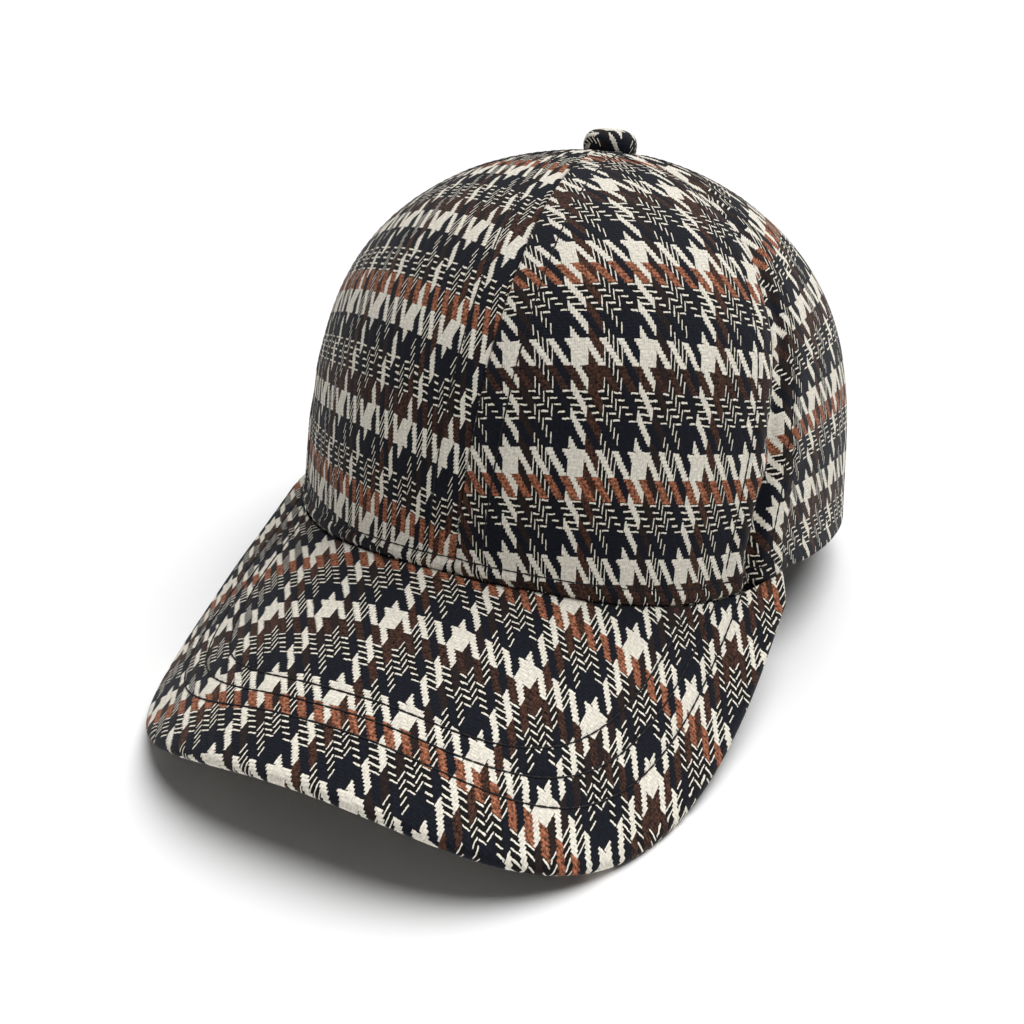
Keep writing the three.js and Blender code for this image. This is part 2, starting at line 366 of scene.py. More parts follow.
# The loose fold low on a side seam, from the seam outward to the back: a deep crease, and
# the front panel's edge that rolls over it, in metres. Above FOLD_TOP a shallow crease stays.
FOLD_PARTS = (
    {"depth": 0.0030, "place": 0.0024, "width": 0.0022},
    {"depth": -0.0013, "place": -0.0030, "width": 0.0032},
    {"depth": -0.0009, "place": 0.0105, "width": 0.0042},
)
FOLD_WAVES = (
    {"swing": 0.0008, "turn": 210, "start": 0.6},
    {"swing": 0.0005, "turn": 390, "start": 0.0},
)
FOLD_TOP = 0.046
FOLD_FADE = 0.006
SHALLOW_SHARE = 0.35

# The crown's soft unevenness, as waves over the angle and the climb
RIPPLES = (
    {"share": 1.0, "round": 3.0, "up": 7.0, "start": 0.7},
    {"share": 0.8, "round": 5.3, "up": -9.0, "start": 2.1},
    {"share": 0.5, "round": 9.7, "up": 4.1, "start": 4.4},
)
RIPPLE_FADE_RADIUS = 0.04
RIPPLE_FADE_RISE = 0.012


def bell(distance, width):
    return np.exp(-(distance / width) ** 2)


def brim_reach_share(angle):
    """1 beside the brim, fading to 0 past its corners."""
    return 1 / (1 + np.exp((np.abs(angle) - BRIM_FADE_ANGLE) / BRIM_FADE))


def crown_relief(angle, climb, shape):
    """How far the crown's outside is drawn in at a place, by seams, stitching and folds."""
    radius = crown_radius(angle, climb)
    rise = rise_above_edge(angle, climb)
    fade = np.minimum(1, radius / SEAM_FADE_RADIUS)
    inward = np.zeros_like(radius)
    for name, seam in SEAMS.items():
        away = (angle - seam_angle(seam, climb)) * radius
        channel = CHANNEL_DEPTH * bell(np.abs(away) - SEAM_STITCH_OFFSET, CHANNEL_WIDTH)
        inward = inward + (seam["depth"] * bell(away, SEAM_WIDTH) + channel) * fade
        if name in ("side_left", "side_right"):
            inward = inward + side_fold(away * np.sign(seam["angle"]), rise)
    front = brim_reach_share(angle)
    hem = bell(rise - 0.5 * (EDGE_DEPTH + HEM_STITCH_RISE), HEM_SWELL_WIDTH)
    inward = inward - shape.hem_puff * hem * front
    inward = inward + HEM_CHANNEL_DEPTH * bell(rise - HEM_STITCH_RISE, CHANNEL_WIDTH) * front
    tuck = bell(rise - EDGE_DEPTH + TUCK_BELOW, TUCK_WIDTH) * front
    return inward + TUCK_DEPTH * tuck


def side_fold(away, rise):
    """How far a side seam's fold is drawn in, away from the seam toward the back."""
    low = 1 / (1 + np.exp((rise - FOLD_TOP) / FOLD_FADE))
    wave = sum(row["swing"] * np.sin(rise * row["turn"] + row["start"]) for row in FOLD_WAVES)
    parts = [row["depth"] * bell(away - row["place"] - wave, row["width"]) for row in FOLD_PARTS]
    return low * sum(parts) + (1 - low) * SHALLOW_SHARE * parts[0]


def ripple_at(angle, climb, shape):
    """A soft unevenness of the crown, outward."""
    fade = np.minimum(1, crown_radius(angle, climb) / RIPPLE_FADE_RADIUS)
    low = np.minimum(1, rise_above_edge(angle, climb) / RIPPLE_FADE_RISE)
    waves = sum(
        row["share"] * np.sin(row["round"] * angle + row["up"] * climb + row["start"])
        for row in RIPPLES
    )
    return 0.5 * shape.ripple * waves * fade * low


def grid_normals(points):
    """Outward directions of a grid whose columns run right and rows run up."""
    right = np.gradient(points, axis=1)
    up = np.gradient(points, axis=0)
    return unit(np.cross(right, up))


def crown_surface(angle, climb, shape, lift=0.0):
    inward = crown_relief(angle, climb, shape) - ripple_at(angle, climb, shape)
    return crown_point(angle, climb, inward - lift)


def place(points):
    """Tip points of the worn cap back to where it rests."""
    x, y, z = np.moveaxis(points, -1, 0)
    c = np.cos(RESTING_TIP)
    s = np.sin(RESTING_TIP)
    return np.stack([x, y * c + z * s, z * c - y * s], -1) + RESTING_OFFSET


def cloth_threads(across, up, name):
    """Warp and weft thread counts at a place on a piece's chart."""
    lie = {**PLAIN_LIE, **LIES[name]}
    a = across / SPAN
    b = up / SPAN
    warp = across * (1 - 0.5 * lie["spread"] * a) / (1 + lie["fan"] * b)
    warp = warp - up * np.tan(np.radians(lie["lean"])) - lie["bow"] * b ** 2
    weft = up - across * np.tan(np.radians(lie["tilt"] + lie["twist"] * b)) + lie["sag"] * a ** 2
    end = lie["end"] + lie["way"] * warp / lie["end_width"]
    pick = lie["pick"] - lie["way"] * weft / lie["pick_width"]
    return np.stack([end, pick], -1)


def add_object(name, data):
    """Put a new object with its data into the scene."""
    item = bpy.data.objects.new(name, data)
    bpy.context.collection.objects.link(item)
    return item


def mesh_piece(name, points, faces, threads, material):
    """A smooth mesh object from points, quads or triangles, and a thread count for each point."""
    mesh = bpy.data.meshes.new(name)
    mesh.from_pydata(points.tolist(), [], faces)
    loops = np.empty(len(mesh.loops), dtype=np.int32)
    mesh.loops.foreach_get("vertex_index", loops)
    layer = mesh.uv_layers.new(name="Threads")
    layer.data.foreach_set("uv", threads[loops].astype(np.float32).ravel())
    mesh.polygons.foreach_set("use_smooth", [True] * len(mesh.polygons))
    mesh.materials.append(material)
    mesh.validate()
    mesh.update()
    return add_object(name, mesh)


def grid_faces(index):
    corners = [index[:-1, :-1], index[:-1, 1:], index[1:, 1:], index[1:, :-1]]
    return np.stack(corners, -1).reshape(-1, 4)


def pillow(name, face, back, threads, material):
    """A closed piece from two grids that share their outermost points."""
    rows, columns = face.shape[:2]
    front_index = np.arange(rows * columns).reshape(rows, columns)
    back_index = np.zeros_like(front_index)
    inner = (rows - 2) * (columns - 2)
    back_index[1:-1, 1:-1] = rows * columns + np.arange(inner).reshape(rows - 2, columns - 2)
    for edge in (np.s_[0, :], np.s_[-1, :], np.s_[:, 0], np.s_[:, -1]):
        back_index[edge] = front_index[edge]
    points = np.concatenate([face.reshape(-1, 3), back[1:-1, 1:-1].reshape(-1, 3)])
    charts = np.concatenate([threads.reshape(-1, 2), threads[1:-1, 1:-1].reshape(-1, 2)])
    faces = np.concatenate([grid_faces(front_index), grid_faces(back_index)[:, ::-1]])
    return mesh_piece(name, points, faces.tolist(), charts, material)


EDGE_STEPS = 5
PANEL_COLUMNS = 90
PANEL_ROWS = 136
# How strongly rows crowd toward the rim, and columns toward the seams, from 0 to 1
ROW_CROWDING = 0.25
COLUMN_CROWDING = 0.35


def lengths_along(line):
    """The length along a line of points, or along each row of a grid, up to each point."""
    steps = np.linalg.norm(np.diff(line, axis=-2), axis=-1)
    return np.concatenate([np.zeros_like(steps[..., :1]), np.cumsum(steps, -1)], -1)


def crowded(share, crowding):
    """Shares from 0 to 1 that lie closer together near 0."""
    return (1 - crowding) * share + crowding * share ** 2


def edge_steps(radius):
    """Distances from a rounded edge, close together where it curves most."""
    return radius * (1 - np.cos(np.linspace(0, np.pi / 2, EDGE_STEPS + 1)))


def panel_rows(middle, radius):
    """The climb of each row, by its distance along the panel's middle line."""
    fine = np.linspace(0, 1, 4000) ** 3 * TOP_CLIMB
    along = lengths_along(crown_point(np.full_like(fine, middle), fine))
    rest = crowded(np.linspace(0, 1, PANEL_ROWS)[1:], ROW_CROWDING)
    wanted = np.concatenate([edge_steps(radius), radius + (along[-1] - radius) * rest])
    return np.interp(wanted, along, fine)


def panel_piece(name, seams, shape, material):
    first, last = (SEAMS[seam] for seam in seams)
    radius = 0.5 * shape.cloth_thickness
    middle = 0.5 * np.radians(first["angle"] + last["angle"])
    climb = panel_rows(middle, radius)[:, None]
    start = seam_angle(first, climb)
    end = seam_angle(last, climb)
    width = (end - start) * crown_radius(0.5 * (start + end), climb) - shape.seam_clearance
    narrow = np.minimum(1, width / (6 * radius))
    close = edge_steps(radius)[None, :-1] * narrow
    side = radius * narrow
    share = np.linspace(0, 1, PANEL_COLUMNS + 1)[None, :]
    eased = 0.5 - 0.5 * np.cos(np.pi * share)
    share = (1 - COLUMN_CROWDING) * share + COLUMN_CROWDING * eased
    inner = side + share * (width - 2 * side)
    away = np.concatenate([close, inner, (width - close)[:, ::-1]], 1)
    clearance = 0.5 * shape.seam_clearance / (width + shape.seam_clearance)
    angle = start + (end - start) * (clearance + away / width * (1 - 2 * clearance))
    climb = np.broadcast_to(climb, angle.shape)
    outside = crown_surface(angle, climb, shape)
    normal = grid_normals(outside)
    normal[0, :, 2] = 0
    normal[0] = unit(normal[0])
    from_edge = np.minimum(np.minimum(away, width - away), rise_above_edge(angle, climb))
    from_edge[[0, -1]] = 0
    from_edge[:, [0, -1]] = 0
    short = radius - np.clip(from_edge, 0, radius)
    half = np.sqrt(np.maximum(0, radius ** 2 - short ** 2))[..., None]
    centre = outside - radius * normal
    plain = crown_point(angle, climb)
    column = plain.shape[1] // 2
    across = lengths_along(plain)
    across -= across[:, [column]]
    line = plain[:, column]
    up = lengths_along(line)
    from_axis = np.hypot(line[:, 0], line[:, 1] - CROWN_LEAN * (line[:, 2] / CROWN_HEIGHT) ** 2)
    curl = -np.gradient(from_axis, up) / np.maximum(from_axis, 0.001)
    rows_up = up[:, None] + 0.5 * curl[:, None] * across ** 2
    threads = cloth_threads(across, rows_up - PANEL_CHART_MIDDLE, name)
    face = place(centre + half * normal)
    back = place(centre - half * normal)
    return pillow("cloth_" + name, face, back, threads, material)


# Brim

# The three rows of stitching follow flatter outlines inside the edge.
STITCH_ROWS = (
    {"half_width": 0.0600, "reach": 0.0907},
    {"half_width": 0.0655, "reach": 0.0955},
    {"half_width": 0.0705, "reach": 0.1001},
)
STITCH_ROW_SQUARENESS = 3.4
BRIM_COLUMNS = 260
BRIM_ROWS = 84
BRIM_ROW_CROWDING = 0.2
BRIM_EDGE_STEPS = 8
BRIM_SWELL = 0.00014


def squared_curve(half_width, reach, squareness, steps=720):
    """A squared curve round the brim's front in plan, from the wearer's left to the right."""
    turn = np.pi * (0.5 - np.arange(steps + 1) / steps)
    power = 2 / squareness
    x = half_width * np.sign(turn) * np.abs(np.sin(turn)) ** power
    y = CORNER_Y - reach * np.maximum(0, np.cos(turn)) ** power
    return np.stack([x, y], -1)


def brim_edge(set_in):
    tip_x, tip_y = rim_point(BRIM_TIP_ANGLE)
    end = tip_x + BRIM_TIP_WIDTH - 0.5 * set_in
    front = squared_curve(BRIM_HALF_WIDTH - set_in, BRIM_REACH - set_in, BRIM_SQUARENESS)
    return np.concatenate([[[end, tip_y]], front, [[-end, tip_y]]])


def brim_root():
    angle = BRIM_TIP_ANGLE * np.linspace(1, -1, 400)
    points = np.stack(rim_point(angle), -1)
    far = np.linalg.norm(points, axis=1, keepdims=True)
    return points * (1 + BRIM_GAP / far)


def spaced(line, share):
    along = lengths_along(line)
    return np.stack([np.interp(share * along[-1], along, line[:, i]) for i in (0, 1)], -1)


def beyond_row(x, y, row):
    """How far outside a row of stitching a place lies."""
    forward = np.maximum(0, CORNER_Y - y)
    across = (np.abs(x) / row["half_width"]) ** STITCH_ROW_SQUARENESS
    along = (forward / row["reach"]) ** STITCH_ROW_SQUARENESS
    size = (across + along) ** (1 / STITCH_ROW_SQUARENESS)
    return (1 - 1 / np.maximum(size, 0.01)) * np.hypot(x, forward)


def brim_relief(x, y):
    """How far the brim's cloth sinks at the stitching, and swells between."""
    channels = sum(bell(beyond_row(x, y, row), CHANNEL_WIDTH) for row in STITCH_ROWS)
    swell = BRIM_SWELL * np.sin(x * 190 + y * 70) * np.sin(y * 150 - x * 40 + 1.0)
    return BRIM_CHANNEL_DEPTH * channels - swell


def brim_chart(x, y):
    """Lengths across and up the brim's sheet, from its middle line and its corners."""
    climb = np.sqrt(1 + BRIM_SLOPE ** 2)
    steps = np.linspace(0, 1, 61)
    span = x[..., None] * steps
    height = sheet_height(span, np.broadcast_to(y[..., None], span.shape))
    run = np.hypot(np.diff(span), np.diff(height) / climb)
    across = np.sign(x) * run.sum(-1)
    return across, ((y - CORNER_Y) + sheet_height(x, y) * BRIM_SLOPE) / climb


def brim_piece(material):
    share = np.linspace(0, 1, BRIM_COLUMNS + 1)
    half = 0.5 * BRIM_THICKNESS
    root = spaced(brim_root(), share)[None]
    flat = spaced(brim_edge(half), share)[None]
    outer = spaced(brim_edge(0.0), share)[None]
    out = crowded(np.linspace(0, 1, BRIM_ROWS + 1), BRIM_ROW_CROWDING)[:, None, None]
    plan = root + (flat - root) * out
    turn = np.linspace(0, np.pi / 2, BRIM_EDGE_STEPS + 1)[1:, None, None]
    plan = np.concatenate([plan, flat + (outer - flat) * np.sin(turn)])
    bend = np.concatenate([np.zeros(BRIM_ROWS + 1), turn.ravel()])[:, None]
    x = plan[..., 0]
    y = plan[..., 1]
    top = np.stack([x, y, sheet_height(x, y)], -1)
    clear = np.linalg.norm(plan - root, axis=-1, keepdims=True) / (2 * BRIM_THICKNESS)
    clear = np.minimum(1, clear)
    down = unit(np.array((0.0, 0.0, -1.0)) * (1 - clear) - sheet_normal(x, y) * clear)
    depth = (half * (1 - np.cos(bend)))[..., None]
    sink = (brim_relief(x, y) * np.cos(bend))[..., None]
    face = top + down * (depth + sink)
    back = top + down * (BRIM_THICKNESS - depth)
    # The cloth runs on round the edge, and back under the brim.
    chart = np.stack(brim_chart(x, y))
    outward = chart[:, BRIM_ROWS] - chart[:, BRIM_ROWS // 2]
    outward = outward / np.maximum(np.hypot(*outward), 1e-6)
    rolled = chart[:, [BRIM_ROWS]] + half * bend * outward[:, None]
    chart = np.where(bend > 0, rolled, chart)
    under = 2 * chart[:, [-1]] - chart
    rows, columns = face.shape[:2]
    top_index = np.arange(rows * columns).reshape(rows, columns)
    under_index = top_index + rows * columns
    under_index[-1] = top_index[-1]
    points = place(np.concatenate([face, back[:-1]]).reshape(-1, 3))
    under_threads = cloth_threads(*under, "brim")[:-1]
    threads = np.concatenate([cloth_threads(*chart, "brim"), under_threads]).reshape(-1, 2)
    top_ring, under_ring = (
        np.concatenate([index[::-1, 0], index[0, 1:], index[1:, -1]])
        for index in (top_index, under_index)
    )
    wall = np.stack([top_ring[:-1], under_ring[:-1], under_ring[1:], top_ring[1:]], -1)
    faces = np.concatenate([grid_faces(top_index), grid_faces(under_index)[:, ::-1], wall])
    faces = [list(dict.fromkeys(corners)) for corners in faces.tolist()]
    return mesh_piece("cloth_brim", points, faces, threads, material)


# Button

BUTTON_SECTION = (
    {"out": 0.0, "up": 1.0}, {"out": 0.45, "up": 0.975}, {"out": 0.74, "up": 0.88},
    {"out": 0.92, "up": 0.70}, {"out": 1.0, "up": 0.44}, {"out": 0.985, "up": 0.18},
    {"out": 0.90, "up": 0.02}, {"out": 0.70, "up": 0.0},
)
BUTTON_SINK = 0.0014
BUTTON_ROWS = 36
BUTTON_COLUMNS = 72
# The cloth is gathered under the button, up to this share of its height.
GATHERS = 12
GATHER_DEPTH = 0.02
GATHERED_SHARE = 0.6


def button_piece(shape, material):
    radius = 0.5 * shape.button_diameter
    height = shape.button_height + BUTTON_SINK
    coarse = np.arange(len(BUTTON_SECTION))
    fine = np.linspace(0, coarse[-1], BUTTON_ROWS)
    out = np.interp(fine, coarse, [row["out"] * radius for row in BUTTON_SECTION])
    up = np.interp(fine, coarse, [row["up"] * height for row in BUTTON_SECTION])
    for line in (out, up) * 3:
        line[1:-1] = 0.25 * line[:-2] + 0.5 * line[1:-1] + 0.25 * line[2:]
    along = lengths_along(np.stack([out, up], -1))
    count = BUTTON_COLUMNS
    around = np.linspace(0, 2 * np.pi, count, endpoint=False)[None, :]
    out = out[1:, None]
    up = up[1:, None]
    low = np.maximum(0, 1 - up / (GATHERED_SHARE * height))
    gathered = 1 - GATHER_DEPTH * low * (0.5 + 0.5 * np.cos(around * GATHERS))
    x = out * gathered * np.cos(around)
    y = out * gathered * np.sin(around)
    rings = np.stack([x, y, np.broadcast_to(up, x.shape)], -1).reshape(-1, 3)
    points = np.concatenate([rings, [[0.0, 0.0, height], [0.0, 0.0, 0.0]]])
    points += np.array((0.0, CROWN_LEAN, CROWN_HEIGHT - BUTTON_SINK))
    reach = along[1:, None]
    chart = cloth_threads(reach * np.cos(around), reach * np.sin(around), "button")
    ends = cloth_threads(np.zeros(2), np.zeros(2), "button")
    threads = np.concatenate([chart.reshape(-1, 2), ends])
    rows = len(out)
    index = np.arange(rows * count).reshape(rows, count)
    index = np.concatenate([index, index[:, :1]], 1)
    faces = grid_faces(index)[:, ::-1].tolist()
    crown = rows * count
    for i in range(count):
        faces.append([crown, index[0, i], index[0, i + 1]])
        faces.append([crown + 1, index[-1, i + 1], index[-1, i]])
    return mesh_piece("cloth_button", place(points), faces, threads, material)


# Materials

def set_inputs(node, values):
    for name, value in values.items():
        node.inputs[name].default_value = value


def feed(tree, socket, value):
    """Give a socket a number or a colour, or link it to another socket."""
    if isinstance(value, bpy.types.NodeSocket):
        tree.links.new(value, socket)
    elif isinstance(value, (int, float)):
        socket.default_value = value
    else:
        socket.default_value = (*value, 1.0)


def math_node(tree, operation, *values):
    node = tree.nodes.new("ShaderNodeMath")
    node.operation = operation
    for socket, value in zip(node.inputs, values):
        feed(tree, socket, value)
    return node.outputs[0]


def mix_node(tree, share, first, second, blend="MIX"):
    node = tree.nodes.new("ShaderNodeMix")
    node.data_type = "RGBA"
    node.blend_type = blend
    for number, value in ((0, share), (6, first), (7, second)):
        feed(tree, node.inputs[number], value)
    return node.outputs[2]


def noise_node(tree, vector, scale, detail=2.0, roughness=0.5, output="Fac"):
    node = tree.nodes.new("ShaderNodeTexNoise")
    set_inputs(node, {"Scale": scale, "Detail": detail, "Roughness": roughness})
    tree.links.new(vector, node.inputs["Vector"])
    return node.outputs[output]


def colour_parts(tree, colour):
    node = tree.nodes.new("ShaderNodeSeparateColor")
    tree.links.new(colour, node.inputs[0])
    return node.outputs


def add_bump(tree, height, strength, distance, shader):
    node = tree.nodes.new("ShaderNodeBump")
    set_inputs(node, {"Strength": strength, "Distance": distance})
    tree.links.new(height, node.inputs["Height"])
    tree.links.new(node.outputs[0], shader.inputs["Normal"])


def plain_material(name):
    """A material, its node tree, its shader and the place on the object."""
    material = bpy.data.materials.new(name)
    material.use_nodes = True
    tree = material.node_tree
    body = tree.nodes.new("ShaderNodeTexCoord").outputs["Object"]
    return material, tree, tree.nodes["Principled BSDF"], body


def scaled_vector(tree, vector, scale):
    node = tree.nodes.new("ShaderNodeMapping")
    node.inputs["Scale"].default_value = scale
    tree.links.new(vector, node.inputs["Vector"])
    return node.outputs["Vector"]


def band_ramp(tree, count, colours):
    """The colour of each thread over two repeats: count is a thread's number."""
    span = 2 * REPEAT
    place_in = math_node(tree, "FLOORED_MODULO", count, float(span))
    share = math_node(tree, "DIVIDE", math_node(tree, "ADD", place_in, 0.5), float(span))
    node = tree.nodes.new("ShaderNodeValToRGB")
    node.color_ramp.interpolation = "CONSTANT"
    tree.links.new(share, node.inputs["Fac"])
    stops = []
    for repeat in (0, 1):
        for band, start in SOLID_BANDS:
            key = band if band != "brown" else ("rust", "dark")[repeat]
            stops.append((start + repeat * REPEAT, colours[key]))
        for thread in range(FINE_START, REPEAT):
            key = ("cream", "black")[(thread - FINE_START) % 2]
            stops.append((thread + repeat * REPEAT, colours[key]))
    elements = node.color_ramp.elements
    elements[0].position = 0.0
    elements[0].color = (*stops[0][1], 1.0)
    elements.remove(elements[1])
    for start, colour in stops[1:]:
        element = elements.new(start / span)
        element.color = (*colour, 1.0)
    return node.outputs["Color"]


# The weave, in threads. A thread floats over FLOAT others and dives under as many. SWAYS bend
# its rows slowly and FRAY shakes their edges. SLIM_SHARE is how much shows of a cream thread
# in the fine stripes, and FLOAT_END what a cream float loses at each end.
FLOAT = 4
SWAY = 1.1
SWAYS = (
    {"stretch": (0.16, 0.10, 1.0), "scale": 1.0},
    {"stretch": (0.08, 0.20, 1.0), "scale": 1.3},
)
FRAY = 0.6
SLIM_SHARE = 0.54
FLOAT_END = 0.34

# Yarn with more blue than PALE_BLUE is cream, and yarn redder than blue by WARM_RED is brown.
# Flecks of fibre are strong in the browns and light in the cream.
PALE_BLUE = 0.3
WARM_RED = 0.02
FIBRE_STRETCH = (1.0, 1.3, 1.0)
FIBRE_SCALE = 0.75
FLECKS_CREAM = 1.3
FLECKS_DARK_MORE = 1.4
FLECKS_BROWN_MORE = 4.0
TONE_LEAST = 0.22
TONE_MOST = 1.9

# What a float's crest and a thread's round section add to its height, the painted shade in the
# grooves between threads and on their rounded sides, and the nap
CREST_SHARE = 0.45
ROUND_SHARE = 0.7
GROOVE_SHADE_TOP = 1.1
GROOVE_SHADE_DEPTH = 0.56
GROOVE_SHADE_CREAM_LESS = 0.32
NAP_SCALE = 2600.0
NAP_RELIEF = 0.5


def slim_edge(tree, count, across):
    """1 where black yarn crowds over a cream thread of the fine stripes."""
    maths = partial(math_node, tree)
    fine = maths("GREATER_THAN", maths("FLOORED_MODULO", count, REPEAT), FINE_START - 0.5)
    from_middle = maths("ABSOLUTE", maths("SUBTRACT", across, 0.5))
    return maths("MULTIPLY", fine, maths("GREATER_THAN", from_middle, 0.5 * SLIM_SHARE))


def float_end(tree, along, colour):
    """1 at the ends of a cream float, where it dives and the thread that it crosses swells over."""
    maths = partial(math_node, tree)
    pale = maths("GREATER_THAN", colour_parts(tree, colour)[2], PALE_BLUE)
    from_middle = maths("ABSOLUTE", maths("SUBTRACT", along, FLOAT / 2))
    return maths("MULTIPLY", pale, maths("GREATER_THAN", from_middle, FLOAT / 2 - FLOAT_END))


def woven_cloth(name, cloth):
    """The woven check: four-up, four-down twill, each thread in its own yarn colour."""
    material, tree, shader, body = plain_material(name)
    maths = partial(math_node, tree)
    uv_map = tree.nodes.new("ShaderNodeUVMap")
    uv_map.uv_map = "Threads"
    chart = uv_map.outputs[0]
    parts = tree.nodes.new("ShaderNodeSeparateXYZ")
    tree.links.new(chart, parts.inputs[0])
    frays = colour_parts(tree, noise_node(tree, chart, 1.0, 1.0, output="Color"))
    counts = []
    for axis, row in enumerate(SWAYS):
        sway = noise_node(tree, scaled_vector(tree, chart, row["stretch"]), row["scale"], 1.0)
        swayed = maths("MULTIPLY_ADD", maths("SUBTRACT", sway, 0.5), SWAY, parts.outputs[axis])
        counts.append(maths("MULTIPLY_ADD", maths("SUBTRACT", frays[axis], 0.5), FRAY, swayed))
    end, pick = (maths("FLOOR", count) for count in counts)
    in_end, in_pick = (maths("FRACT", count) for count in counts)
    slant = maths("SUBTRACT", maths("SUBTRACT", end, pick), 1.0)
    step = maths("FLOORED_MODULO", slant, 2 * FLOAT)
    warp_up = maths("LESS_THAN", step, FLOAT - 0.5)

    def chosen(warp_value, weft_value):
        more = maths("SUBTRACT", warp_value, weft_value)
        return maths("MULTIPLY_ADD", more, warp_up, weft_value)

    yarns = {"navy": cloth.navy, "cream": cloth.cream, "black": cloth.black}
    warp_yarns = dict(yarns, rust=cloth.rust_warp, dark=cloth.dark_warp)
    weft_yarns = dict(yarns, rust=cloth.rust_weft, dark=cloth.dark_weft)
    warp = band_ramp(tree, end, warp_yarns)
    weft = band_ramp(tree, pick, weft_yarns)
    warp = mix_node(tree, slim_edge(tree, end, in_end), warp, cloth.black)
    weft = mix_node(tree, slim_edge(tree, pick, in_pick), weft, cloth.black)
    pick_from_float = maths("SUBTRACT", maths("ADD", step, 1.0), in_pick)
    end_from_float = maths("ADD", maths("SUBTRACT", step, FLOAT), in_end)
    diving = chosen(float_end(tree, pick_from_float, warp), float_end(tree, end_from_float, weft))
    warp_seen = maths("ABSOLUTE", maths("SUBTRACT", warp_up, diving))
    yarn = mix_node(tree, warp_seen, weft, warp)

    # Heathered yarn
    fibres = noise_node(tree, scaled_vector(tree, chart, FIBRE_STRETCH), FIBRE_SCALE, 3.0, 0.7)
    red, _, blue = colour_parts(tree, yarn)
    pale = maths("GREATER_THAN", blue, PALE_BLUE)
    dull = maths("SUBTRACT", 1.0, pale)
    warm = maths("MULTIPLY", maths("GREATER_THAN", maths("SUBTRACT", red, blue), WARM_RED), dull)
    swing = maths("MULTIPLY_ADD", dull, FLECKS_DARK_MORE, FLECKS_CREAM)
    swing = maths("MULTIPLY_ADD", warm, FLECKS_BROWN_MORE, swing)
    tone = maths("MULTIPLY_ADD", maths("SUBTRACT", fibres, 0.5), swing, 1.0)
    tone = maths("MINIMUM", maths("MAXIMUM", tone, TONE_LEAST), TONE_MOST)

    def rounded(value):
        centred = maths("MULTIPLY_ADD", value, 2.0, -1.0)
        return maths("SUBTRACT", 1.0, maths("MULTIPLY", centred, centred))

    # The thread that shows is round across, and dips where it passes under others.
    roundness = chosen(rounded(in_end), rounded(in_pick))
    crest = chosen(
        rounded(maths("DIVIDE", pick_from_float, FLOAT)),
        rounded(maths("DIVIDE", end_from_float, FLOAT)),
    )
    height = maths(
        "MULTIPLY", maths("MULTIPLY_ADD", crest, CREST_SHARE, 1 - CREST_SHARE),
        maths("MULTIPLY_ADD", roundness, ROUND_SHARE, 1 - ROUND_SHARE),
    )
    # Painted shade: the colour is darkened where a thread lies low, in the grooves between threads and
    # on each thread's rounded sides, less deep on cream.
    depth = maths("MULTIPLY_ADD", pale, -GROOVE_SHADE_CREAM_LESS, GROOVE_SHADE_DEPTH)
    groove_shade = maths("MULTIPLY", depth, maths("SUBTRACT", 1.0, height))
    shade = maths("MULTIPLY", maths("SUBTRACT", GROOVE_SHADE_TOP, groove_shade), tone)
    grey = tree.nodes.new("ShaderNodeCombineColor")
    for socket in grey.inputs:
        tree.links.new(shade, socket)
    colour = mix_node(tree, 1.0, yarn, grey.outputs[0], "MULTIPLY")
    tree.links.new(colour, shader.inputs["Base Color"])

    nap = noise_node(tree, body, NAP_SCALE)
    relief = maths("MULTIPLY_ADD", nap, NAP_RELIEF, height)
    add_bump(tree, relief, 0.75, cloth.thread_relief, shader)
    tree.links.new(maths("MULTIPLY_ADD", nap, 0.12, 0.82), shader.inputs["Roughness"])
    set_inputs(shader, {
        "Specular IOR Level": 0.16, "Sheen Weight": cloth.sheen, "Sheen Roughness": 0.5,
    })
    return material


def sewing_thread(stitching):
    material, tree, shader, body = plain_material("sewing_thread")
    twist = noise_node(tree, body, 4200.0)
    lighter = tuple(2.2 * value for value in stitching.colour)
    colour = mix_node(tree, twist, stitching.colour, lighter)
    tree.links.new(colour, shader.inputs["Base Color"])
    add_bump(tree, twist, 0.6, 0.0001, shader)
    set_inputs(shader, {"Roughness": 0.7, "Specular IOR Level": 0.3})
    return material


def paper_floor(colour):
    material, tree, shader, body = plain_material("pale_paper")
    grain = noise_node(tree, body, 60.0, 3.0)
    lighter = tuple(min(1.0, 1.015 * value) for value in colour)
    tone = mix_node(tree, grain, colour, lighter)
    tree.links.new(tone, shader.inputs["Base Color"])
    set_inputs(shader, {"Roughness": 0.9, "Specular IOR Level": 0.15})
    return material


# Stitching

# How far a stitch's middle stands above the brim's cloth. On the crown it is half of this.
STITCH_LIFT = 0.00016
# A row of the brim starts this far from the crown.
ROW_CLEARANCE = 0.0008
# The rows beside a seam start above the brim or above the rim, and end below the button.
BRIM_SEAM_RISE = 0.012
RIM_SEAM_RISE = 0.003
SEAM_STITCH_TOP = 0.90

# A setting of the rule: what the stitching's settings call it, and its kind of socket.
STITCH_SOCKETS = {
    "pitch": "Float", "length": "Float", "diameter": "Float", "seed": "Int", "thread": "Material",
}


